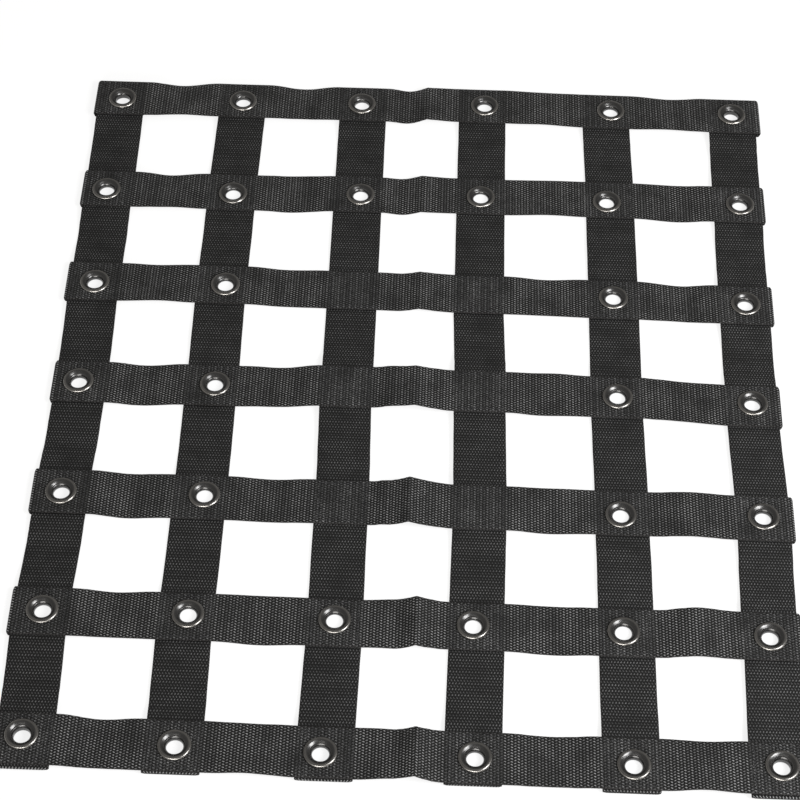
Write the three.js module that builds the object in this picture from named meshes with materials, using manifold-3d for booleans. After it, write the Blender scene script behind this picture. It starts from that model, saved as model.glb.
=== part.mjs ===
// Pallet rack net: a rectangular net of flat black webbing, laid out on a surface.
//
// Seven straps run across, along X, and lie on top of six straps that run down, along Y.
// They are sewn together where they cross. The ends of the straps across are wrapped round
// the outer straps down, and the ends of the straps down are folded under the first and last
// straps across. Metal eyelets are set through all the layers of most of the crossings.
// The net was folded in half once: a sharp crease stands up in the middle bay of each strap
// across.
//
// Millimetres, +Z up. The surface that the net lies on is z = 0, and the origin is under the
// middle of the net's outline. Row 1 of the tables is the far one, column 1 the left one.

import * as THREE from 'three';
import { mergeVertices } from 'three/addons/utils/BufferGeometryUtils.js';
import Module from 'manifold-3d';

// Driving sizes of the webbing and the grid
const PITCH = 130;
const WEB_WIDTH = 50;
const WEB_THICK = 1.4;
const GAP = 0.3;
const LAYER = WEB_THICK + GAP;
const FLAT_HALF = WEB_WIDTH / 2 + 1.5;
const FOLD_LENGTH = 47;
const TURN_STEPS = 4;
const BAY_STEPS = 5;

// Driving sizes of an eyelet, set
const SIDES = 10;
const THROAT_R = 7.4;
const BARREL_R = 8.8;
const FLANGE_R = 14.8;
const CREST_R = 13;
const FLANGE_RISE = 2;
const FUNNEL_DROP = 1;
const WASHER_R = 13.2;
const WASHER_THICK = 1.2;

// The crease: how far its foot lies to the left of its ridge, and where the three stretches of
// its bay have sections, as parts of each stretch
const CREASE_FOOT = 20;
const HOLLOW_STEPS = [0.5, 1];
const CLIMB_STEPS = [0.6, 1];
const SLOPE_STEPS = [0.33, 0.67];

// Straps across, a row for each.
//   centre  how far its middle lies off its row's line, at each column
//   lift    height of its middle plane in each bay; in the third bay, at the crease's foot
//   lean    degrees that it leans in each bay, far edge up
//   crease  x of the crease, and peak its height there
//   reach   how far its wrapped ends stand out past the outer straps down, left and right
const ACROSS = [
  { centre: [-2.5, 0.5, 1, 4, 1.5, -1], lift: [5, 3, 2, 6, 5.5], lean: [-7, -5, -2, -2, -5],
    crease: 1.5, peak: 8.5, reach: [3.4, 5.3] },
  { centre: [-4, -2, 0.5, 3, 4, 2], lift: [3.5, 2, 1.8, 4.8, 2.3], lean: [-6, 2, 2, -1.5, 2],
    crease: -1, peak: 6.5, reach: [2.8, 3.5] },
  { centre: [-1, 1.5, 0, 0, -1.5, -4.5], lift: [5, 2, 2.8, 2.5, 2.5], lean: [-4, -1.5, -1, -3.5, -4],
    crease: 0.5, peak: 7, reach: [3.8, 4.1] },
  { centre: [1, 3, 5, 4.2, 5, -1.5], lift: [1.2, 3, 10.5, 5, 4.5], lean: [-1, -2.5, -2, 3.5, -2],
    crease: 0.5, peak: 13, reach: [2.7, 3] },
  { centre: [1, 0.8, 0.3, -1.2, -1, -2.6], lift: [1.5, 2, 7.3, 3.3, 7.4], lean: [1, -2, 2, 3, 0],
    crease: -1.5, peak: 14, reach: [3.6, 4.1] },
  { centre: [0, 0.3, -0.5, 0.5, -0.5, 0], lift: [2.5, 2.3, 4.4, 1.7, 9.4], lean: [-4, 3.5, 4, 2, 2],
    crease: 9, peak: 11, reach: [3.6, 3.5] },
  { centre: [0.5, -0.5, -1.7, -1.8, -2, -2.5], lift: [3, 7, 7.4, 3.2, 7.4], lean: [-5, -4, -5, -3, -7],
    crease: 12, peak: 13.5, reach: [3.6, 4] },
];

// Straps down, a row for each.
//   centre  how far its middle lies off its column's line, at each row
//   lift    height of its middle plane in each bay
//   reach   how far its folded ends stand out past the first and last straps across
const DOWN = [
  { centre: [-1, 0, 0.7, 2.5, 1, -0.5, 2], lift: [3, 1.5, 2.5, 1.2, 1.5, 3], reach: [1, 3.5] },
  { centre: [-1.2, -2.3, -2.5, -1.3, -1, -1.5, 0], lift: [2, 1.2, 3, 1, 1.5, 2.5], reach: [0.8, 1.5] },
  { centre: [-2, -1.7, -1.3, -1, 1, 1.5, 0.3], lift: [1.5, 2.5, 1.5, 4, 2.5, 3], reach: [0.8, 1.5] },
  { centre: [-4.3, -4.4, -4.5, -2.3, -0.8, -1.8, -3], lift: [2.5, 1.5, 1.2, 4.5, 3, 2], reach: [0.6, 0.8] },
  { centre: [-2.3, -0.7, -0.3, -0.3, 1.2, 1.7, 1.8], lift: [1.5, 3, 1.2, 2, 3.5, 2.5], reach: [0.8, 2.2] },
  { centre: [2, 0.9, -0.3, -0.5, 1.4, -0.5, -2.5], lift: [2.5, 1.5, 1.2, 3.5, 2.5, 4], reach: [1, 3] },
];

// Eyelets, a row for each strap across: the columns that have one, and how far each lies off
// the grid, to the right and away.
const ALL_COLUMNS = [1, 2, 3, 4, 5, 6];
const OUTER_COLUMNS = [1, 2, 5, 6];
const EYELETS = [
  { columns: ALL_COLUMNS, right: [0, -1, -3.5, -2, 3, 2], away: [-4, -1, 0.5, 3.5, 2, 0.5] },
  { columns: ALL_COLUMNS, right: [-2, -1, 1, -4.5, -4, 3.5], away: [-6, -4.5, -0.5, 1.5, 0.5, 1.5] },
  { columns: OUTER_COLUMNS, right: [1, 1.5, -0.5, 1], away: [-2.5, 1, 0, -3.5] },
  { columns: OUTER_COLUMNS, right: [0.5, 2, 0.5, 0], away: [1, 4, 5, 1] },
  { columns: OUTER_COLUMNS, right: [0.5, 3.5, 0, 1.5], away: [0.5, 3, -3.5, -1.5] },
  { columns: ALL_COLUMNS, right: [0.5, 0.5, 1.5, -5, -1, -1], away: [1, 2.5, 2, 1, 0, -1] },
  { columns: ALL_COLUMNS, right: [0, 1.5, -3.5, -1.5, 4, 0], away: [4, -0.5, -2.5, -2, -3.5, -0.5] },
];

// Crossings without an eyelet: height of the lower strap's underside, by row, columns 3 and 4
const PLAIN_BEDS = { 3: [0.8, 1], 4: [4.5, 4.5], 5: [2, 3.5] };

const ROWS = ACROSS.length;
const COLUMNS = DOWN.length;

const columnX = (column) => (column - (COLUMNS + 1) / 2) * PITCH;
const rowY = (row) => ((ROWS + 1) / 2 - row) * PITCH;
const hasEyelet = (row, column) => EYELETS[row - 1].columns.includes(column);
const isSide = (column) => column === 1 || column === COLUMNS;
const isEnd = (row) => row === 1 || row === ROWS;
const smooth = (t) => t * t * (3 - 2 * t);
const mix = THREE.MathUtils.lerp;

// The stack at a crossing, from below: the wrapped end of a strap across, the folded end of a
// strap down, the strap down and the strap across. These are heights of middle planes.
function bedHeight(row, column) {
  const underside = hasEyelet(row, column) ? WASHER_THICK + GAP : PLAIN_BEDS[row][column - 3];
  return underside + WEB_THICK / 2;
}

function downHeight(row, column) {
  return bedHeight(row, column) + LAYER * (isSide(column) + isEnd(row));
}

function acrossHeight(row, column) {
  return downHeight(row, column) + LAYER;
}

// A section of a strap: its place along the strap, its middle's height and place to the side,
// and its lean in degrees.
const section = (along, height, side, lean = 0) => ({ along, height, side, lean });

// A bay that sags or stands between two crossings
function plainBay(from, to, lift, lean) {
  const sections = [];
  for (let step = 1; step < BAY_STEPS; step += 1) {
    const t = step / BAY_STEPS;
    const bulge = Math.sin(Math.PI * t) ** 2;
    sections.push(section(
      mix(from.along, to.along, t),
      mix(mix(from.height, to.height, smooth(t)), lift, bulge),
      mix(from.side, to.side, t),
      lean * bulge,
    ));
  }
  return sections;
}

// A bay with a crease: a hollow down to its foot, a climb that steepens up to the sharp ridge,
// and a slope that eases down to the next crossing. Each stretch has a few sections.
function creasedBay(from, to, lift, lean, crease, peak) {
  const foot = crease - CREASE_FOOT;
  const climb = (t) => t * t * (1.5 - t / 2);
  const ease = (t) => 1 - (1 - t) ** 1.5;
  const shape = [
    ...HOLLOW_STEPS.map((t) => [mix(from.along, foot, t), mix(from.height, lift, smooth(t))]),
    ...CLIMB_STEPS.map((t) => [mix(foot, crease, t), mix(lift, peak, climb(t))]),
    ...SLOPE_STEPS.map((t) => [mix(crease, to.along, t), mix(peak, to.height, ease(t))]),
  ];
  return shape.map(([along, height]) => {
    const t = (along - from.along) / (to.along - from.along);
    return section(along, height, mix(from.side, to.side, t), lean * Math.sin(Math.PI * t) ** 2);
  });
}

// The half turn of a strap's end, from the fold beneath to the main run above. way is -1 at
// the strap's start and 1 at its end, edge is the edge that it passes, both along the strap.
function turnedEnd(end, way) {
  const radius = (end.height - end.foldHeight) / 2;
  const centre = end.edge + way * (end.reach - radius - WEB_THICK / 2);
  const sections = [section(end.edge - way * FOLD_LENGTH, end.foldHeight, end.side)];
  for (let step = 0; step <= TURN_STEPS; step += 1) {
    const angle = Math.PI * step / TURN_STEPS;
    sections.push(section(
      centre + way * radius * Math.sin(angle),
      mix(end.foldHeight, end.height, (1 - Math.cos(angle)) / 2),
      end.side,
    ));
  }
  return sections;
}

// All the sections of a strap, from the tip of its first fold to the tip of its last one
function strapSections(crossings, bays, ends) {
  const sections = turnedEnd({ ...crossings[0], ...ends[0] }, -1);
  crossings.forEach((crossing, index) => {
    const from = { ...crossing, along: crossing.along + FLAT_HALF };
    if (index > 0) {
      sections.push(section(crossing.along - FLAT_HALF, crossing.height, crossing.side));
    }
    if (index < crossings.length - 1) {
      const next = crossings[index + 1];
      const to = { ...next, along: next.along - FLAT_HALF };
      sections.push(section(from.along, from.height, from.side));
      sections.push(...bays[index](from, to));
    }
  });
  const last = crossings[crossings.length - 1];
  sections.push(...turnedEnd({ ...last, ...ends[1] }, 1).reverse());
  return sections;
}

// The closed solid of a strap: a rectangle at each section, square to the strap's run
function strapGeometry(sections) {
  const positions = [];
  sections.forEach((here, index) => {
    const before = sections[Math.max(index - 1, 0)];
    const after = sections[Math.min(index + 1, sections.length - 1)];
    const run = unitRun(before, here).add(unitRun(here, after)).normalize();
    const lean = THREE.MathUtils.degToRad(here.lean);
    const across = new THREE.Vector3(0, Math.cos(lean), Math.sin(lean));
    const up = new THREE.Vector3().crossVectors(run, across);
    const middle = new THREE.Vector3(here.along, here.side, here.height);
    for (const [width, thick] of [[-1, -1], [1, -1], [1, 1], [-1, 1]]) {
      const corner = middle.clone()
        .addScaledVector(across, width * WEB_WIDTH / 2)
        .addScaledVector(up, thick * WEB_THICK / 2);
      positions.push(corner.x, corner.y, corner.z);
    }
  });
  const triangles = [0, 2, 1, 0, 3, 2];
  for (let ring = 0; ring < sections.length - 1; ring += 1) {
    for (let corner = 0; corner < 4; corner += 1) {
      const a = ring * 4 + corner;
      const b = ring * 4 + (corner + 1) % 4;
      triangles.push(a, b, b + 4, a, b + 4, a + 4);
    }
  }
  const last = (sections.length - 1) * 4;
  triangles.push(last, last + 1, last + 2, last, last + 2, last + 3);
  const geometry = new THREE.BufferGeometry();
  geometry.setAttribute('position', new THREE.Float32BufferAttribute(positions, 3));
  geometry.setIndex(triangles);
  return geometry;
}

// Direction from one section to the next, or nothing where they are the same
function unitRun(from, to) {
  return new THREE.Vector3(to.along - from.along, 0, to.height - from.height).normalize();
}

// A strap across: along is x and side is y
function acrossGeometry(row) {
  const { centre, lift, lean, crease, peak, reach } = ACROSS[row - 1];
  const crossings = DOWN.map((strap, index) => ({
    along: columnX(index + 1) + strap.centre[row - 1],
    side: rowY(row) + centre[index],
    height: acrossHeight(row, index + 1),
  }));
  const bays = lift.map((height, index) => (from, to) => (
    index === 2
      ? creasedBay(from, to, height, lean[index], crease, peak)
      : plainBay(from, to, height, lean[index])));
  const ends = [0, COLUMNS - 1].map((index, end) => ({
    edge: crossings[index].along + (end * 2 - 1) * WEB_WIDTH / 2,
    foldHeight: bedHeight(row, index + 1),
    reach: reach[end],
  }));
  return strapGeometry(strapSections(crossings, bays, ends));
}

// A strap down: along is -y and side is x, so the finished strap is turned a quarter
function downGeometry(column) {
  const { centre, lift, reach } = DOWN[column - 1];
  const crossings = ACROSS.map((strap, index) => ({
    along: -(rowY(index + 1) + strap.centre[column - 1]),
    side: columnX(column) + centre[index],
    height: downHeight(index + 1, column),
  }));
  const bays = lift.map((height) => (from, to) => plainBay(from, to, height, 0));
  const ends = [0, ROWS - 1].map((index, end) => ({
    edge: crossings[index].along + (end * 2 - 1) * WEB_WIDTH / 2,
    foldHeight: downHeight(index + 1, column) - LAYER,
    reach: reach[end],
  }));
  return strapGeometry(strapSections(crossings, bays, ends)).rotateZ(-Math.PI / 2);
}

// Every eyelet: its crossing and its place
function eyeletPlaces() {
  return EYELETS.flatMap(({ columns, right, away }, index) => columns.map((column, place) => ({
    row: index + 1,
    column,
    x: columnX(column) + right[place],
    y: rowY(index + 1) + away[place],
  })));
}

// A set eyelet: the washer on the surface, the barrel through the layers, and the rounded
// flange, whose funnel runs down into the throat
function eyeletGeometry({ row, column, x, y }) {
  const seat = acrossHeight(row, column) + WEB_THICK / 2 + GAP;
  const profile = [
    [THROAT_R, 0],
    [WASHER_R, 0],
    [WASHER_R, WASHER_THICK],
    [BARREL_R, WASHER_THICK],
    [BARREL_R, seat],
    [FLANGE_R, seat],
    [CREST_R, seat + FLANGE_RISE],
    [THROAT_R, seat - FUNNEL_DROP],
    [THROAT_R, 0],
  ];
  const points = profile.map(([radius, height]) => new THREE.Vector2(radius, height));
  return new THREE.LatheGeometry(points, SIDES).rotateX(Math.PI / 2).translate(x, y, 0);
}

// Solids for cutting the eyelets' holes
const wasm = await Module();
wasm.setup();

function toSolid(geometry) {
  const bare = geometry.clone();
  bare.deleteAttribute('normal');
  bare.deleteAttribute('uv');
  const merged = mergeVertices(bare);
  return new wasm.Manifold(new wasm.Mesh({
    numProp: 3,
    vertProperties: new Float32Array(merged.attributes.position.array),
    triVerts: new Uint32Array(merged.index.array),
  }));
}

function toGeometry(solid) {
  const mesh = solid.getMesh();
  const geometry = new THREE.BufferGeometry();
  geometry.setAttribute('position', new THREE.BufferAttribute(mesh.vertProperties, 3));
  geometry.setIndex(new THREE.BufferAttribute(mesh.triVerts, 1));
  geometry.computeVertexNormals();
  return geometry;
}

// A strap with the holes that its eyelets' barrels go through, in all its layers
function pierced(strap, eyelets) {
  const tall = 2 * PITCH;
  let solid = toSolid(strap);
  for (const { x, y } of eyelets) {
    const drill = new THREE.CylinderGeometry(BARREL_R + GAP, BARREL_R + GAP, tall, SIDES)
      .rotateX(Math.PI / 2)
      .translate(x, y, 0);
    solid = solid.subtract(toSolid(drill));
  }
  return toGeometry(solid);
}

// The webbing is black polypropylene; the eyelets are blackened metal
function piece(name, geometry, colour, roughness, metalness) {
  const material = new THREE.MeshStandardMaterial({ color: colour, roughness, metalness });
  const mesh = new THREE.Mesh(geometry, material);
  mesh.name = name;
  return mesh;
}

const webbing = (name, geometry) => piece(name, geometry, 0x222324, 0.8, 0);
const metal = (name, geometry) => piece(name, geometry, 0x3b3836, 0.35, 0.9);

const net = new THREE.Group();
const places = eyeletPlaces();
for (let row = 1; row <= ROWS; row += 1) {
  const mine = places.filter((place) => place.row === row);
  net.add(webbing(`strap_across_${row}`, pierced(acrossGeometry(row), mine)));
}
for (let column = 1; column <= COLUMNS; column += 1) {
  const mine = places.filter((place) => place.column === column);
  net.add(webbing(`strap_down_${column}`, pierced(downGeometry(column), mine)));
}
for (const place of places) {
  net.add(metal(`eyelet_${place.row}_${place.column}`, eyeletGeometry(place)));
}

// The origin goes under the middle of the outline
const middle = new THREE.Box3().setFromObject(net).getCenter(new THREE.Vector3());
net.position.set(-middle.x, -middle.y, 0);

export default net;
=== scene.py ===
import math

import bmesh
import bpy
from mathutils import Matrix, Vector, noise


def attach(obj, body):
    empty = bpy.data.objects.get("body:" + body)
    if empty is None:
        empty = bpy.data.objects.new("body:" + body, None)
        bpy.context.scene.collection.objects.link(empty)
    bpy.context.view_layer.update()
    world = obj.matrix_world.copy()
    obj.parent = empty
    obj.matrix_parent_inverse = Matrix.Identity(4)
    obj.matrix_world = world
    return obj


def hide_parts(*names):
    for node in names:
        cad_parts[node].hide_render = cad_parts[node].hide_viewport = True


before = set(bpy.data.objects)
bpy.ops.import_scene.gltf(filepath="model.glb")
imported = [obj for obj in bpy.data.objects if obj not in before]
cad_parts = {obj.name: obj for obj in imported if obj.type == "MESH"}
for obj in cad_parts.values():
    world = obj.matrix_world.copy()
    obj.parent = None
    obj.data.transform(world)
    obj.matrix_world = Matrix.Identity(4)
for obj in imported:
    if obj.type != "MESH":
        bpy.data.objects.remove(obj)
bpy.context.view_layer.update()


# Straps down: six lengths of black polypropylene webbing, 50 mm wide and 1.4 mm thick, woven
# with a rib every 3 mm. They are the net's lower layer. Each end is folded under and sewn
# at the first and last strap across, with its corners pulled round.
MM = 0.001
PITCH = 130
WEB_WIDTH = 50
WEB_THICK = 1.4
GAP = 0.3
LAYER = WEB_THICK + GAP
WASHER_THICK = 1.2
FLAT_HALF = WEB_WIDTH / 2 + 1.5
FOLD_LENGTH = 47
CORNER_DRAW = 2.6
TURN_STEPS = 16
BAY_STEPS = 24
NET_MIDDLE = Vector((1.45, -0.45, 0))

# The weave: ribs across the strap, loops of yarn at its edges, and edges that wander a little
RIB_PITCH = 2.95
RIB_SECTIONS = 4
RIB_DEPTH = 0.4
LOOP_DEPTH = 0.12
YARN_PITCH = 2.8
YARN_SLANT = 0.32
BAND_PITCH = 23
SELVEDGE_FROM = 23.4
SELVEDGE_TO = 24.6
DRIFT = 0.25
DRIFT_LENGTH = 40
SHARP_ANGLE = 50

# How hard a strap is pressed: 1 where it is sewn, from a little inside the crossing's edge,
# and below 0 on the round of a fold, which spreads its yarns and gets a paler painted sheen
SEWN = 1
SEWN_INSET = 2
FOLD_SPREAD_AND_SHEEN = -3

# How fine the noise is of fuzz on the yarn, stray fibres, wear and large patches, per metre
FUZZ_SCALE = 700.0
FIBRE_SCALE = 1100.0
WEAR_SCALE = 330.0
PATCH_SCALE = 38.0

# Colours of the yarn and its selvedge, and the painted sheen: how pale the floats are painted on
# these straps, which catch less light along their ribs than the straps across, and on the round of
# every fold
YARN_DULL = (0.0088, 0.0087, 0.0085)
SELVEDGE_DULL = (0.012, 0.0105, 0.010)
SELVEDGE_PALE = (0.07, 0.062, 0.06)
DOWN_SHEEN_PAINT = 0.13
TURNED_SHEEN_PAINT = 0.24

# A cross section of webbing: how far out, as part of half the width, and how much of half
# the thickness is there. The other half mirrors it.
WEB_PROFILE = [(0, 1), (0.5, 1), (0.86, 1), (0.95, 0.9), (0.985, 0.6), (1, 0)]

# How far the middle of each strap lies off its own line, at each crossing: a row for each
# strap across, and then a row for each strap down
ACROSS_LINES = [
    [-2.5, 0.5, 1, 4, 1.5, -1],
    [-4, -2, 0.5, 3, 4, 2],
    [-1, 1.5, 0, 0, -1.5, -4.5],
    [1, 3, 5, 4.2, 5, -1.5],
    [1, 0.8, 0.3, -1.2, -1, -2.6],
    [0, 0.3, -0.5, 0.5, -0.5, 0],
    [0.5, -0.5, -1.7, -1.8, -2, -2.5],
]
DOWN_LINES = [
    [-1, 0, 0.7, 2.5, 1, -0.5, 2],
    [-1.2, -2.3, -2.5, -1.3, -1, -1.5, 0],
    [-2, -1.7, -1.3, -1, 1, 1.5, 0.3],
    [-4.3, -4.4, -4.5, -2.3, -0.8, -1.8, -3],
    [-2.3, -0.7, -0.3, -0.3, 1.2, 1.7, 1.8],
    [2, 0.9, -0.3, -0.5, 1.4, -0.5, -2.5],
]
ROWS = len(ACROSS_LINES)
COLUMNS = len(DOWN_LINES)

# Straps down: height of the middle plane in each bay, and how far the folded ends stand out
# past the first and last straps across
DOWN = [
    {"lift": [3, 1.5, 2.5, 1.2, 1.5, 3], "reach": [1, 3.5]},
    {"lift": [2, 1.2, 3, 1, 1.5, 2.5], "reach": [0.8, 1.5]},
    {"lift": [1.5, 2.5, 1.5, 4, 2.5, 3], "reach": [0.8, 1.5]},
    {"lift": [2.5, 1.5, 1.2, 4.5, 3, 2], "reach": [0.6, 0.8]},
    {"lift": [1.5, 3, 1.2, 2, 3.5, 2.5], "reach": [0.8, 2.2]},
    {"lift": [2.5, 1.5, 1.2, 3.5, 2.5, 4], "reach": [1, 3]},
]

# Eyelets: the columns of each row that have one, and how far each lies off the grid, to the
# right and away
ALL_COLUMNS = [1, 2, 3, 4, 5, 6]
OUTER_COLUMNS = [1, 2, 5, 6]
EYELETS = [
    (ALL_COLUMNS, [0, -1, -3.5, -2, 3, 2], [-4, -1, 0.5, 3.5, 2, 0.5]),
    (ALL_COLUMNS, [-2, -1, 1, -4.5, -4, 3.5], [-6, -4.5, -0.5, 1.5, 0.5, 1.5]),
    (OUTER_COLUMNS, [1, 1.5, -0.5, 1], [-2.5, 1, 0, -3.5]),
    (OUTER_COLUMNS, [0.5, 2, 0.5, 0], [1, 4, 5, 1]),
    (OUTER_COLUMNS, [0.5, 3.5, 0, 1.5], [0.5, 3, -3.5, -1.5]),
    (ALL_COLUMNS, [0.5, 0.5, 1.5, -5, -1, -1], [1, 2.5, 2, 1, 0, -1]),
    (ALL_COLUMNS, [0, 1.5, -3.5, -1.5, 4, 0], [4, -0.5, -2.5, -2, -3.5, -0.5]),
]
HOLE_R = 9.1
HOLE_SIDES = 32

# How high the lowest layer lies at each crossing (row, column) that has no eyelet
PLAIN_BEDS = {(3, 3): 0.8, (3, 4): 1, (4, 3): 4.5, (4, 4): 4.5, (5, 3): 2, (5, 4): 3.5}


def column_x(column):
    return (column - (COLUMNS + 1) / 2) * PITCH


def row_y(row):
    return ((ROWS + 1) / 2 - row) * PITCH


def crossing_place(row, column):
    """Where two straps cross, as x and y in millimetres on the net's grid."""
    return (column_x(column) + DOWN_LINES[column - 1][row - 1],
            row_y(row) + ACROSS_LINES[row - 1][column - 1])


def bed_height(row, column):
    """Height of the lowest layer's middle plane at a crossing."""
    return PLAIN_BEDS.get((row, column), WASHER_THICK + GAP) + WEB_THICK / 2


def down_height(row, column):
    return bed_height(row, column) + LAYER * ((column in (1, COLUMNS)) + (row in (1, ROWS)))


def eyelet_places():
    """(row, column, x, y) of every eyelet, in millimetres on the net's grid."""
    for row, (columns, right, away) in enumerate(EYELETS, 1):
        for column, dx, dy in zip(columns, right, away):
            yield row, column, column_x(column) + dx, row_y(row) + dy


def smooth(t):
    return t * t * (3 - 2 * t)


def mix(a, b, t):
    return a + (b - a) * t


def plain_bay(start, end, lift, lean):
    """Sections of a bay that sags or stands between two crossings."""
    for step in range(1, BAY_STEPS):
        t = step / BAY_STEPS
        bulge = math.sin(math.pi * t) ** 2
        height = mix(mix(start["height"], end["height"], smooth(t)), lift, bulge)
        yield (mix(start["along"], end["along"], t), height,
               mix(start["side"], end["side"], t), lean * bulge, 0, 0)


def turned_end(end, way):
    """Sections of the half turn of a strap's end, from the tip of the fold beneath."""
    radius = (end["height"] - end["fold_height"]) / 2
    centre = end["edge"] + way * (end["reach"] - radius - WEB_THICK / 2)
    tip = end["edge"] - way * FOLD_LENGTH
    sections = [(tip, end["fold_height"], end["side"], 0, 0, SEWN)]
    for step in range(TURN_STEPS + 1):
        angle = math.pi * step / TURN_STEPS
        height = mix(end["fold_height"], end["height"], (1 - math.cos(angle)) / 2)
        along = centre + way * radius * math.sin(angle)
        sections.append((along, height, end["side"], 0, math.sin(angle) ** 2, FOLD_SPREAD_AND_SHEEN))
    return sections


def strap_sections(crossings, bays, ends):
    """(along, height, side, lean, draw, pressed) down a whole strap, tip to tip. draw is how
    much the strap's corners are pulled in."""
    first = turned_end({**crossings[0], **ends[0]}, -1)
    last = turned_end({**crossings[-1], **ends[1]}, 1)[::-1]
    body = []
    for index, here in enumerate(crossings):
        level = (here["height"], here["side"], 0, 0)
        if index > 0:
            body.append((here["along"] - FLAT_HALF, *level, 0))
        body.append((here["along"] - FLAT_HALF + SEWN_INSET, *level, SEWN))
        body.append((here["along"] + FLAT_HALF - SEWN_INSET, *level, SEWN))
        if index < len(crossings) - 1:
            following = crossings[index + 1]
            start = {**here, "along": here["along"] + FLAT_HALF}
            end = {**following, "along": following["along"] - FLAT_HALF}
            body.append((start["along"], *level, 0))
            body.extend(bays[index](start, end))
    return first + [s for s in body if first[-1][0] < s[0] < last[0][0]] + last


def evenly(sections, step):
    """The sections again, a step apart along the strap, each with its length so far."""
    lengths = [0]
    for before, here in zip(sections, sections[1:]):
        lengths.append(lengths[-1] + math.hypot(here[0] - before[0], here[1] - before[1]))
    count = round(lengths[-1] / step)
    found, place = [], 0
    for number in range(count + 1):
        length = lengths[-1] * number / count
        while place < len(lengths) - 2 and lengths[place + 1] < length:
            place += 1
        span = lengths[place + 1] - lengths[place]
        t = (length - lengths[place]) / span if span else 0
        pair = zip(sections[place], sections[place + 1])
        found.append((length, *(mix(a, b, t) for a, b in pair)))
    return found


def strap_mesh(name, sections, to_net):
    """A strap as one closed mesh, with its ribs, its looped edges, a UV map in metres across
    and along it, and how hard each point is pressed. to_net turns (along, side) to x, y."""
    ring = WEB_PROFILE[:]
    ring += [(out, -thick) for out, thick in WEB_PROFILE[-2::-1]]
    ring += [(-out, -thick) for out, thick in WEB_PROFILE[1:]]
    ring += [(-out, thick) for out, thick in WEB_PROFILE[-2:0:-1]]
    rows = evenly(sections, RIB_PITCH / RIB_SECTIONS)
    points, places, pressed = [], [], []
    for index, (length, along, height, side, lean, draw, press) in enumerate(rows):
        before = rows[max(index - 1, 0)]
        after = rows[min(index + 1, len(rows) - 1)]
        run = Vector((after[1] - before[1], 0, after[2] - before[2])).normalized()
        across = Vector((0, math.cos(math.radians(lean)), math.sin(math.radians(lean))))
        up = run.cross(across)
        wave = math.cos(2 * math.pi * length / RIB_PITCH)
        thick = WEB_THICK / 2 - RIB_DEPTH * (1 - wave) / 4
        width = WEB_WIDTH / 2 - LOOP_DEPTH * (1 - wave) / 2
        drift = DRIFT * noise.noise(Vector((length / DRIFT_LENGTH, side, height)))
        for out, rise in ring:
            drawn = width - CORNER_DRAW * draw * abs(out) ** 3
            point = Vector((along, side + drift, height))
            point += across * (out * drawn) + up * (rise * thick)
            x, y = to_net(point.x, point.y)
            points.append((Vector((x, y, point.z)) - NET_MIDDLE) * MM)
            places.append((out * WEB_WIDTH / 2 * MM, length * MM))
            pressed.append(press)
    size = len(ring)
    faces = [tuple(range(size - 1, -1, -1))]
    for index in range(len(rows) - 1):
        for corner in range(size):
            a = index * size + corner
            b = index * size + (corner + 1) % size
            faces.append((b, b + size, a + size, a))
    faces.append(tuple(range((len(rows) - 1) * size, len(rows) * size)))
    mesh = bpy.data.meshes.new(name)
    mesh.from_pydata(points, [], faces)
    uv = mesh.uv_layers.new(name="weave")
    for loop in mesh.loops:
        uv.data[loop.index].uv = places[loop.vertex_index]
    mesh.attributes.new("pressed", "FLOAT", "POINT").data.foreach_set("value", pressed)
    return mesh


def ring_faces(sides, rings, closed=False):
    """Quads of a tube of rings with that many sides each."""
    last = rings if closed else rings - 1
    for level in range(last):
        for side in range(sides):
            a = level * sides + side
            b = level * sides + (side + 1) % sides
            up = ((level + 1) % rings - level) * sides
            yield (a, b, b + up, a + up)


def stand(name, data):
    """A new object of that data, in the scene."""
    thing = bpy.data.objects.new(name, data)
    bpy.context.scene.collection.objects.link(thing)
    return thing


def put(name, mesh, material):
    """A new object of that mesh and material, outward faces, smooth but for its edges."""
    solid = bmesh.new()
    solid.from_mesh(mesh)
    bmesh.ops.recalc_face_normals(solid, faces=solid.faces)
    solid.to_mesh(mesh)
    solid.free()
    mesh.polygons.foreach_set("use_smooth", [True] * len(mesh.polygons))
    mesh.set_sharp_from_angle(angle=math.radians(SHARP_ANGLE))
    mesh.materials.append(material)
    return stand(name, mesh)


def pierce(piece, holes):
    """Cuts the eyelets' holes through all the layers of a strap."""
    points, faces = [], []
    for x, y in holes:
        first = len(points)
        for height in (-PITCH, PITCH):
            for side in range(HOLE_SIDES):
                angle = 2 * math.pi * side / HOLE_SIDES
                place = Vector((x + HOLE_R * math.cos(angle), y + HOLE_R * math.sin(angle), height))
                points.append((place - NET_MIDDLE) * MM)
        top = list(range(first + HOLE_SIDES, first + 2 * HOLE_SIDES))
        bottom = list(range(first + HOLE_SIDES - 1, first - 1, -1))
        walls = ring_faces(HOLE_SIDES, 2)
        faces += [top, bottom] + [[first + corner for corner in wall] for wall in walls]
    punch_mesh = bpy.data.meshes.new("punch")
    punch_mesh.from_pydata(points, [], faces)
    punch = stand("punch", punch_mesh)
    cut = piece.modifiers.new("holes", "BOOLEAN")
    cut.operation = "DIFFERENCE"
    cut.solver = "EXACT"
    cut.object = punch
    settle(piece)
    bpy.data.objects.remove(punch)


def settle(piece):
    """Turns a piece with its modifiers into a plain mesh."""
    graph = bpy.context.evaluated_depsgraph_get()
    made = bpy.data.meshes.new_from_object(piece.evaluated_get(graph))
    made.name = piece.name
    piece.modifiers.clear()
    piece.data = made


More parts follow.
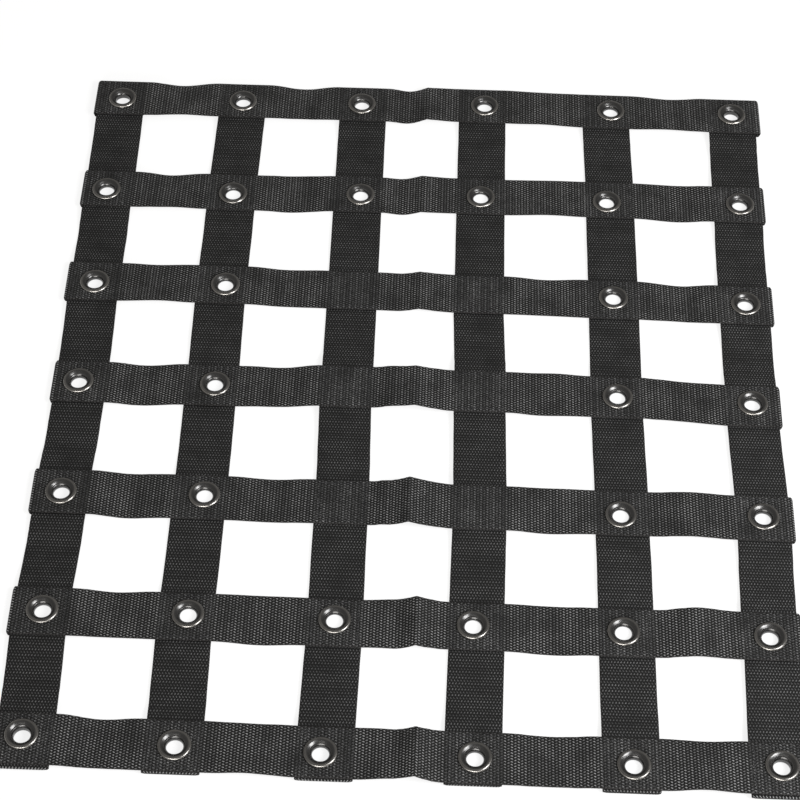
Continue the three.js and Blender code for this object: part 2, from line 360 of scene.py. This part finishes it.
class Wire:
    """A socket of a material's tree, which adds, subtracts and multiplies as a number does."""

    def __init__(self, finish, socket):
        self.finish = finish
        self.socket = socket

    def sum(self, operation, *values):
        sockets = dict(enumerate(values))
        return self.finish.node("ShaderNodeMath", {"operation": operation}, sockets)

    def __add__(self, other):
        return self.sum("ADD", self, other)

    def __sub__(self, other):
        return self.sum("SUBTRACT", self, other)

    def __rsub__(self, other):
        return self.sum("SUBTRACT", other, self)

    def __mul__(self, other):
        return self.sum("MULTIPLY", self, other)

    __radd__ = __add__
    __rmul__ = __mul__

    def wave(self, length):
        """From -1 to 1, once in each length."""
        return self.sum("COSINE", self * (2 * math.pi / length))

    def size(self):
        return self.sum("ABSOLUTE", self)

    def between(self, low, high):
        """0 at low, 1 at high, and smooth between them."""
        sockets = {"Value": self, "From Min": low, "From Max": high}
        settings = {"interpolation_type": "SMOOTHSTEP"}
        return self.finish.node("ShaderNodeMapRange", settings, sockets)


class Finish:
    """A material, and the one way that its nodes are made."""

    def __init__(self, name):
        self.material = bpy.data.materials.new(name)
        self.material.use_nodes = True
        self.tree = self.material.node_tree
        self.shader = self.tree.nodes["Principled BSDF"]

    def node(self, kind, settings, sockets, output=0):
        node = self.tree.nodes.new(kind)
        for name, value in settings.items():
            setattr(node, name, value)
        self.feed(node, sockets)
        return Wire(self, node.outputs[output])

    def feed(self, node, sockets):
        for name, value in sockets.items():
            if isinstance(value, Wire):
                self.tree.links.new(value.socket, node.inputs[name])
            else:
                node.inputs[name].default_value = value

    def noise(self, scale, detail=2.0):
        place = self.node("ShaderNodeTexCoord", {}, {}, "Object")
        sockets = {"Vector": place, "Scale": scale, "Detail": detail}
        return self.node("ShaderNodeTexNoise", {}, sockets, "Fac")

    def over(self, amount, low, high):
        """A colour wire laid over another, by amount."""
        return self.node("ShaderNodeMix", {"data_type": "RGBA"}, {0: amount, 6: low, 7: high}, 2)

    def tint(self, amount, low, high):
        """A colour between two plain ones, by amount."""
        return self.over(amount, (*low, 1), (*high, 1))

    def bump(self, height, distance):
        return self.node("ShaderNodeBump", {}, {"Height": height, "Distance": distance}, "Normal")


def webbing_finish(name, sheen_paint):
    """Black webbing: glossy warp floats with a painted sheen as pale as sheen_paint, staggered from
    rib to rib and leaning one way in one rib and the other way in the next, with a tight selvedge,
    and pressed flat where sewn."""
    web = Finish(name)
    uv = web.node("ShaderNodeUVMap", {"uv_map": "weave"}, {})
    across = web.node("ShaderNodeSeparateXYZ", {}, {0: uv}, "X")
    along = web.node("ShaderNodeSeparateXYZ", {}, {0: uv}, "Y")
    pressed = web.node("ShaderNodeAttribute", {"attribute_name": "pressed"}, {}, "Fac")

    # Where the yarns come up: waves across the strap, leaning by turns, times waves along it
    ribs = along.wave(RIB_PITCH * MM)
    pairs = along.wave(2 * RIB_PITCH * MM)
    lean = (along - RIB_PITCH * MM / 2).wave(2 * RIB_PITCH * MM)
    yarns = (across + lean * (YARN_SLANT * RIB_PITCH * MM / math.pi)).wave(YARN_PITCH * MM)
    floats = pairs * yarns
    edge = across.size().between(SELVEDGE_FROM * MM, SELVEDGE_TO * MM)

    # How pale the floats are painted, as painted sheen: pressed flat they are duller, every second
    # rib gets more painted sheen where the light catches its lean, and each band of the loom, wear
    # and patches change them
    fuzz = web.noise(FUZZ_SCALE)
    wear = web.noise(WEAR_SCALE, 1.0)
    patches = web.noise(PATCH_SCALE)
    fibres = web.noise(FIBRE_SCALE, 1.0).between(0.5, 0.72)
    dots = (floats + fuzz * 0.5 - 0.25).between(0.25, 0.85) * (1 - pressed * 0.5)
    specks = fibres * (pressed.between(0, 1) * 0.2 + 0.05)
    # Painted sheen, stronger on every second rib where the light catches its lean, times the slower
    # bands of the loom
    loom_bands_and_rib_sheen = pairs * 0.22 + along.wave(BAND_PITCH * MM) * 0.14 + 0.9
    sheen_and_fibres = (dots + specks) * (wear + 0.3) * (patches * 2 - 0.02) * loom_bands_and_rib_sheen
    # Painted sheen on the floats of straps lying flat, and a paler one on the rounds of folds
    lying_sheen_paint = web.tint(sheen_and_fibres, YARN_DULL, (sheen_paint,) * 3)
    turned_sheen_paint = web.tint(sheen_and_fibres, YARN_DULL, (TURNED_SHEEN_PAINT,) * 3)
    # The rounds of the folds take the paler painted sheen.
    yarn = web.over((0 - pressed).between(0, -FOLD_SPREAD_AND_SHEEN), lying_sheen_paint, turned_sheen_paint)
    selvedge = web.tint(specks, SELVEDGE_DULL, SELVEDGE_PALE)
    relief = ribs * 0.14 + floats * 0.14 * (1 - pressed * 0.4) + fuzz * 0.08
    web.feed(web.shader, {
        "Base Color": web.over(edge * 0.7, yarn, selvedge),
        "Roughness": 0.6 - dots * 0.22,
        "Specular IOR Level": 0.22,
        "Normal": web.bump(relief, MM),
    })
    return web.material


def down_to_net(along, side):
    return side, -along


def flat_length(sections):
    return evenly(sections, RIB_PITCH)[-1][0] * MM


def strap_down(column):
    """The strap of one column, without its holes, and its flat length."""
    crossings = []
    for row in range(1, ROWS + 1):
        x, y = crossing_place(row, column)
        crossings.append({"along": -y, "side": x, "height": down_height(row, column)})
    strap = DOWN[column - 1]
    bays = [
        lambda start, end, lift=lift: plain_bay(start, end, lift, 0) for lift in strap["lift"]
    ]
    ends = [
        {
            "edge": crossings[row - 1]["along"] + way * WEB_WIDTH / 2,
            "fold_height": down_height(row, column) - LAYER,
            "reach": reach,
        }
        for row, way, reach in zip((1, ROWS), (-1, 1), strap["reach"])
    ]
    sections = strap_sections(crossings, bays, ends)
    return strap_mesh(f"webbing_down_{column}", sections, down_to_net), flat_length(sections)


# The straps down get a dimmer painted sheen on their floats than the straps across.
dim_sheen_webbing = webbing_finish("black_webbing_down_dim_painted_sheen", DOWN_SHEEN_PAINT)
for column in range(1, COLUMNS + 1):
    mesh, length = strap_down(column)
    piece = put(f"webbing_down_{column}", mesh, dim_sheen_webbing)
    pierce(piece, [(x, y) for _, c, x, y in eyelet_places() if c == column])
    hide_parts(f"strap_down_{column}")
    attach(piece, "root")
    beneath = [f"grommet_{row}_{c}" for row, c, _, _ in eyelet_places() if c == column]


# Eyelets: 36 pressed grommets of steel with a black nickel finish, 15 mm in the throat. Each
# is one turned-over tube set through the layers of a crossing: its rolled flange lies on top
# and its lower end is curled over a plain washer.
EYELET_SIDES = 44
THROAT_R = 7.4
BARREL_R = 8.75
FLANGE_R = 14.8
CREST_R = 13
WASHER_R = 13.2

# How far the painted highlight spreads from the crest and the rim, how pale it is painted on the
# crest, and how worn the washer is
GLINT_WIDTH = 1.1
CREST_GLINT = 0.3
WASHER_WEAR = 0.2
NICKEL_DARK = (0.088, 0.087, 0.086)
NICKEL_GLINT_AND_WEAR = (0.6, 0.575, 0.535)

# The flange and funnel above the seat, and the curl below the washer: radius and height
FLANGE_CURVE = [
    (FLANGE_R - 0.5, 0.0), (FLANGE_R - 0.1, 0.08), (FLANGE_R, 0.45), (14.62, 0.95),
    (14.15, 1.48), (13.6, 1.85), (CREST_R, 2.0), (12.35, 1.93), (11.6, 1.62), (10.8, 1.08),
    (10.0, 0.42), (9.2, -0.25), (8.5, -0.95), (7.9, -1.75), (7.5, -2.5), (THROAT_R, -3.3),
]
CURL_CURVE = [
    (THROAT_R, 1.7), (7.6, 0.9), (8.2, 0.25), (9.3, 0.0), (10.1, 0.08), (10.6, 0.4),
    (10.55, 0.75), (10.1, 0.85), (9.4, 0.75), (BARREL_R, 1.0),
]
WASHER_CURVE = [
    (9.6, 0.88), (10.9, 0.42), (11.4, 0.25), (WASHER_R - 0.3, 0.25), (WASHER_R, 0.5),
    (WASHER_R, 0.9), (WASHER_R - 0.4, 1.15), (9.6, 1.15),
]


def turned(curve, x, y, sides):
    """Points and faces of a closed curve of radii and heights turned about an upright axis."""
    points = []
    for radius, height in curve:
        for side in range(sides):
            angle = 2 * math.pi * side / sides
            place = Vector((x + radius * math.cos(angle), y + radius * math.sin(angle), height))
            points.append((place - NET_MIDDLE) * MM)
    return points, list(ring_faces(sides, len(curve), closed=True))


def eyelet_mesh(name, seat, x, y):
    """A grommet and its washer, with how much painted highlight each point of its crest and rim
    gets, and how worn the washer is.
    """
    tube = [(radius, seat + height) for radius, height in FLANGE_CURVE] + CURL_CURVE
    tube.append((BARREL_R, seat))
    points, faces = turned(tube, x, y, EYELET_SIDES)
    rim_glint_and_wear = []
    for radius, height in tube:
        on_crest = max(0, 1 - abs(radius - CREST_R) / GLINT_WIDTH) if height > seat + 1 else 0
        on_rim = max(0, 1 - abs(radius - FLANGE_R) / GLINT_WIDTH) if height >= seat else 0
        rim_glint_and_wear += [max(on_crest * CREST_GLINT, on_rim)] * EYELET_SIDES
    washer_points, washer_faces = turned(WASHER_CURVE, x, y, EYELET_SIDES)
    first = len(points)
    faces += [tuple(first + corner for corner in face) for face in washer_faces]
    rim_glint_and_wear += [WASHER_WEAR] * len(washer_points)
    mesh = bpy.data.meshes.new(name)
    mesh.from_pydata(points + washer_points, [], faces)
    mesh.attributes.new("rim_glint_and_wear", "FLOAT", "POINT").data.foreach_set("value", rim_glint_and_wear)
    return mesh


def eyelet_finish():
    """Black nickel on pressed steel: dark and glossy, painted paler on the crest and rim as a
    painted highlight, worn paler on the washer, with fine marks from the press."""
    nickel = Finish("black_nickel")
    rim_glint_and_wear = nickel.node("ShaderNodeAttribute", {"attribute_name": "rim_glint_and_wear"}, {}, "Fac")
    clouds = nickel.noise(160.0, 3.0)
    marks = nickel.noise(1500.0, 2.0).between(0.45, 0.75)
    # Painted highlight on the crest and rim, and wear on the washer, broken up by clouds, with
    # faint press marks
    glint_and_wear = rim_glint_and_wear * (clouds * 0.8 + 0.5) + marks * 0.05
    nickel.feed(nickel.shader, {
        "Base Color": nickel.tint(glint_and_wear, NICKEL_DARK, NICKEL_GLINT_AND_WEAR),
        "Metallic": 1.0,
        "Roughness": 0.2 + clouds * 0.14 + marks * 0.08,
        "Normal": nickel.bump(clouds * 0.6 + marks * 0.2, 0.05 * MM),
    })
    return nickel.material


black_nickel = eyelet_finish()
for row, column, x, y in eyelet_places():
    name = f"grommet_{row}_{column}"
    seat = down_height(row, column) + LAYER + WEB_THICK / 2 + GAP
    piece = put(name, eyelet_mesh(name, seat, x, y), black_nickel)
    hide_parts(f"eyelet_{row}_{column}")
    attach(piece, "root")


# Box stitching: black polyester thread, 0.7 mm thick, a square of lockstitch at each of the
# 42 crossings, 4 mm inside the webbing's edges. Each stitch is a short arch of thread that
# dives into the weave at both ends.
STITCH_PITCH = 3.4
STITCH_LENGTH = 2.7
STITCH_RISE = 0.42
STITCH_STEPS = 5
THREAD_R = 0.34
THREAD_SIDES = 6
BOX_HALF = 21

# A stitch's arch: how deep its ends dive and how high its middle is pulled, as parts of the
# rise, and the least and greatest stretch of one stitch
DIVE = 0.7
PULL = 1.3
LEAST_STRETCH = 0.86
MOST_STRETCH = 1.1
THREAD_DARK = (0.005, 0.005, 0.006)
THREAD_PALE = (0.025, 0.025, 0.027)


def seam_lines(name, row):
    """The squares that the needle follows along one strap across, as edges."""
    points, edges = [], []
    for column in range(1, COLUMNS + 1):
        first = len(points)
        upper_face = down_height(row, column) + LAYER + WEB_THICK / 2
        middle = Vector((*crossing_place(row, column), upper_face))
        for right, away in ((-1, -1), (1, -1), (1, 1), (-1, 1)):
            corner = Vector((right * BOX_HALF, away * BOX_HALF, 0))
            points.append((middle + corner - NET_MIDDLE) * MM)
        edges += [(first + side, first + (side + 1) % 4) for side in range(4)]
    mesh = bpy.data.meshes.new(name)
    mesh.from_pydata(points, edges, [])
    return mesh


def stitch_tree(material):
    """Geometry nodes that lay a stitch every so often along the lines of a mesh."""
    tree = bpy.data.node_groups.new("lockstitch", "GeometryNodeTree")
    face = tree.interface
    face.new_socket("Geometry", in_out="INPUT", socket_type="NodeSocketGeometry")
    for title in ("Pitch", "Stitch Length", "Rise", "Thread Radius"):
        face.new_socket(title, in_out="INPUT", socket_type="NodeSocketFloat")
    face.new_socket("Thread Sides", in_out="INPUT", socket_type="NodeSocketInt")
    face.new_socket("Seed", in_out="INPUT", socket_type="NodeSocketInt")
    face.new_socket("Geometry", in_out="OUTPUT", socket_type="NodeSocketGeometry")

    def add(kind, settings=None, sockets=None):
        node = tree.nodes.new(kind)
        for title, value in (settings or {}).items():
            setattr(node, title, value)
        for title, value in (sockets or {}).items():
            if isinstance(value, bpy.types.NodeSocket):
                tree.links.new(value, node.inputs[title])
            else:
                node.inputs[title].default_value = value
        return node

    def times(value, factor):
        return add("ShaderNodeMath", {"operation": "MULTIPLY"}, {0: value, 1: factor}).outputs[0]

    # One stitch: thread swept along a low arch
    given = add("NodeGroupInput").outputs
    half = times(given["Stitch Length"], 0.5)
    depth = times(given["Rise"], -DIVE)
    start = add("ShaderNodeCombineXYZ", sockets={"X": times(half, -1.0), "Z": depth})
    top = add("ShaderNodeCombineXYZ", sockets={"Z": times(given["Rise"], PULL)})
    end = add("ShaderNodeCombineXYZ", sockets={"X": half, "Z": depth})
    arch = add("GeometryNodeCurveQuadraticBezier", sockets={
        "Resolution": STITCH_STEPS, "Start": start.outputs[0], "Middle": top.outputs[0],
        "End": end.outputs[0]})
    thread = add("GeometryNodeCurvePrimitiveCircle", sockets={
        "Resolution": given["Thread Sides"], "Radius": given["Thread Radius"]})
    stitch = add("GeometryNodeCurveToMesh", sockets={
        "Curve": arch.outputs[0], "Profile Curve": thread.outputs[0], "Fill Caps": True})

    # Laid along the seam, each turned the seam's way and stretched a little
    lines = add("GeometryNodeMeshToCurve", sockets={"Mesh": given["Geometry"]})
    stops = add("GeometryNodeResampleCurve", {"mode": "LENGTH"},
                {"Curve": lines.outputs[0], "Length": given["Pitch"]})
    tangent = add("GeometryNodeInputTangent")
    turn = add("FunctionNodeAlignRotationToVector", {"axis": "X", "pivot_axis": "Z"},
               {"Vector": tangent.outputs[0]})
    stretch = add("FunctionNodeRandomValue", {"data_type": "FLOAT"},
                  {2: LEAST_STRETCH, 3: MOST_STRETCH, "Seed": given["Seed"]})
    laid = add("GeometryNodeInstanceOnPoints", sockets={
        "Points": stops.outputs[0], "Instance": stitch.outputs[0],
        "Rotation": turn.outputs[0], "Scale": stretch.outputs[1]})
    real = add("GeometryNodeRealizeInstances", sockets={"Geometry": laid.outputs[0]})
    dyed = add("GeometryNodeSetMaterial", sockets={
        "Geometry": real.outputs[0], "Material": material})
    out = add("NodeGroupOutput")
    tree.links.new(dyed.outputs[0], out.inputs[0])
    return tree


def thread_finish():
    """Black polyester thread: a soft sheen on a fine twist."""
    dyed = Finish("black_thread")
    twist = dyed.noise(2600.0, 1.0)
    fade = dyed.noise(60.0)
    dyed.feed(dyed.shader, {
        "Base Color": dyed.tint(twist * fade * 2.2, THREAD_DARK, THREAD_PALE),
        "Roughness": 0.52 - twist * 0.16,
        "Normal": dyed.bump(twist, 0.08 * MM),
    })
    return dyed.material


black_thread = thread_finish()
lockstitch = stitch_tree(black_thread)
for row in range(1, ROWS + 1):
    name = f"stitching_{row}"
    piece = stand(name, seam_lines(name, row))
    sewing = piece.modifiers.new("sewing", "NODES")
    sewing.node_group = lockstitch
    wanted = {
        "Pitch": STITCH_PITCH * MM, "Stitch Length": STITCH_LENGTH * MM,
        "Rise": STITCH_RISE * MM, "Thread Radius": THREAD_R * MM,
        "Thread Sides": THREAD_SIDES, "Seed": row,
    }
    for item in lockstitch.interface.items_tree:
        if item.name in wanted:
            sewing[item.identifier] = wanted[item.name]
    settle(piece)
    piece.data.polygons.foreach_set("use_smooth", [True] * len(piece.data.polygons))
    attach(piece, "root")


# Straps across: seven lengths of the same webbing, laid over the straps down. Each end is
# wrapped round the outermost strap down and sewn beneath it. The net was stored folded in
# half, which left the sharp crease in the middle bay of every one of them.
# How pale the floats of the straps across are painted: a paler painted sheen, as they catch the
# light along their ribs.
ACROSS_SHEEN_PAINT = 0.32
CREASE_BAY = 2
CREASE_FOOT = 20
HOLLOW_STEPS = 10
CLIMB_STEPS = 14
SLOPE_STEPS = 16
SLOPE_POWER = 1.5

# Height of the middle plane in each bay (in the third one, at the crease's foot), degrees
# that it leans in each bay, far edge up, where the crease is and how high, and how far the
# wrapped ends stand out past the outer straps down
ACROSS = [
    {"lift": [5, 3, 2, 6, 5.5], "lean": [-7, -5, -2, -2, -5],
     "crease": 1.5, "peak": 8.5, "reach": [3.4, 5.3]},
    {"lift": [3.5, 2, 1.8, 4.8, 2.3], "lean": [-6, 2, 2, -1.5, 2],
     "crease": -1, "peak": 6.5, "reach": [2.8, 3.5]},
    {"lift": [5, 2, 2.8, 2.5, 2.5], "lean": [-4, -1.5, -1, -3.5, -4],
     "crease": 0.5, "peak": 7, "reach": [3.8, 4.1]},
    {"lift": [1.2, 3, 10.5, 5, 4.5], "lean": [-1, -2.5, -2, 3.5, -2],
     "crease": 0.5, "peak": 13, "reach": [2.7, 3]},
    {"lift": [1.5, 2, 7.3, 3.3, 7.4], "lean": [1, -2, 2, 3, 0],
     "crease": -1.5, "peak": 14, "reach": [3.6, 4.1]},
    {"lift": [2.5, 2.3, 4.4, 1.7, 9.4], "lean": [-4, 3.5, 4, 2, 2],
     "crease": 9, "peak": 11, "reach": [3.6, 3.5]},
    {"lift": [3, 7, 7.4, 3.2, 7.4], "lean": [-5, -4, -5, -3, -7],
     "crease": 12, "peak": 13.5, "reach": [3.6, 4]},
]


def creased_bay(start, end, lift, lean, crease, peak):
    """Sections of the middle bay: a hollow down to the crease's foot, a climb that steepens
    up to its ridge, and a slope that eases down to the next crossing."""
    foot = crease - CREASE_FOOT
    shape = []
    for step in range(1, HOLLOW_STEPS + 1):
        t = step / HOLLOW_STEPS
        shape.append((mix(start["along"], foot, t), mix(start["height"], lift, smooth(t))))
    for step in range(1, CLIMB_STEPS + 1):
        t = step / CLIMB_STEPS
        shape.append((mix(foot, crease, t), mix(lift, peak, t * t * (1.5 - t / 2))))
    for step in range(1, SLOPE_STEPS):
        t = step / SLOPE_STEPS
        fall = 1 - (1 - t) ** SLOPE_POWER
        shape.append((mix(crease, end["along"], t), mix(peak, end["height"], fall)))
    for along, height in shape:
        t = (along - start["along"]) / (end["along"] - start["along"])
        side = mix(start["side"], end["side"], t)
        yield along, height, side, lean * math.sin(math.pi * t) ** 2, 0, 0


def across_to_net(along, side):
    return along, side


def strap_across(row):
    """The strap of one row, without its holes, and its flat length."""
    crossings = []
    for column in range(1, COLUMNS + 1):
        x, y = crossing_place(row, column)
        crossings.append({"along": x, "side": y, "height": down_height(row, column) + LAYER})
    strap = ACROSS[row - 1]
    bays = [
        lambda start, end, lift=lift, lean=lean: plain_bay(start, end, lift, lean)
        for lift, lean in zip(strap["lift"], strap["lean"])
    ]
    bays[CREASE_BAY] = lambda start, end: creased_bay(
        start, end, strap["lift"][CREASE_BAY], strap["lean"][CREASE_BAY],
        strap["crease"], strap["peak"])
    ends = [
        {
            "edge": crossings[column - 1]["along"] + way * WEB_WIDTH / 2,
            "fold_height": bed_height(row, column),
            "reach": reach,
        }
        for column, way, reach in zip((1, COLUMNS), (-1, 1), strap["reach"])
    ]
    sections = strap_sections(crossings, bays, ends)
    return strap_mesh(f"webbing_across_{row}", sections, across_to_net), flat_length(sections)


# The straps across get the paler painted sheen on their floats.
pale_sheen_webbing = webbing_finish("black_webbing_across_pale_painted_sheen", ACROSS_SHEEN_PAINT)
for row in range(1, ROWS + 1):
    mesh, length = strap_across(row)
    piece = put(f"webbing_across_{row}", mesh, pale_sheen_webbing)
    mine = [(column, x, y) for r, column, x, y in eyelet_places() if r == row]
    pierce(piece, [(x, y) for _, x, y in mine])
    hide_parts(f"strap_across_{row}")
    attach(piece, "root")
    beneath = [f"webbing_down_{column}" for column in range(1, COLUMNS + 1)]


# Floor: a plain, pale, matt sheet under the net, which glows a little so that no shadow shows.
FLOOR_HALF = 40.0
FLOOR_COLOUR = (0.3, 0.3, 0.3, 1)
FLOOR_GLOW = 0.8
floor_mesh = bpy.data.meshes.new("floor")
floor_mesh.from_pydata(
    [(x * FLOOR_HALF, y * FLOOR_HALF, 0) for x, y in ((-1, -1), (1, -1), (1, 1), (-1, 1))],
    [], [(0, 1, 2, 3)])
paper = Finish("white_paper")
paper.feed(paper.shader, {
    "Base Color": FLOOR_COLOUR, "Roughness": 0.9, "Specular IOR Level": 0.0,
    "Emission Color": (1, 1, 1, 1), "Emission Strength": FLOOR_GLOW,
})
floor_mesh.materials.append(paper.material)
stand("floor", floor_mesh)


# Light: a soft box on the right, a wide one beyond the near side, low over the floor, and a
# pale grey room.
ROOM_COLOUR = (1, 0.98, 0.95, 1)
ROOM_GLOW = 0.36

# Name, place, width and height in metres, watts, and colour. Both face the net's middle.
LIGHTS = [
    ("key", (1.35, -0.8, 1.25), (0.9, 0.8), 33, (0.985, 0.99, 1.0)),
    ("fill", (-0.4, -3.2, 1.1), (2.4, 0.8), 50, (1.0, 0.985, 0.965)),
]
for name, place, size, power, colour in LIGHTS:
    light = bpy.data.lights.new(name, "AREA")
    light.shape = "RECTANGLE"
    light.size, light.size_y = size
    light.energy = power
    light.color = colour
    facing = (-Vector(place)).to_track_quat("-Z", "Y").to_matrix().to_4x4()
    stand(name, light).matrix_world = Matrix.Translation(place) @ facing

room = bpy.data.worlds.new("room")
room.use_nodes = True
background = room.node_tree.nodes["Background"]
background.inputs["Color"].default_value = ROOM_COLOUR
background.inputs["Strength"].default_value = ROOM_GLOW
bpy.context.scene.world = room
bpy.context.scene.view_settings.view_transform = "Standard"


# Camera: above the near side, looking down at 52 degrees, turned a little to the left.
CAMERA_PLACE = (0.011657, -1.296509, 1.666153)
CAMERA_LENS = 98.469
CAMERA_SENSOR = 36
CAMERA_REACH = 200
CAMERA_RIGHT = Vector((0.99934088, 0.03469236, 0.01068861))
CAMERA_UP = Vector((-0.03395937, 0.78937007, 0.61297769))
lens = bpy.data.cameras.new("camera")
lens.lens = CAMERA_LENS
lens.sensor_width = CAMERA_SENSOR
lens.clip_end = CAMERA_REACH
camera = stand("camera", lens)
turn = Matrix((CAMERA_RIGHT, CAMERA_UP, CAMERA_RIGHT.cross(CAMERA_UP))).transposed()
camera.matrix_world = Matrix.Translation(CAMERA_PLACE) @ turn.to_4x4()
bpy.context.scene.camera = camera
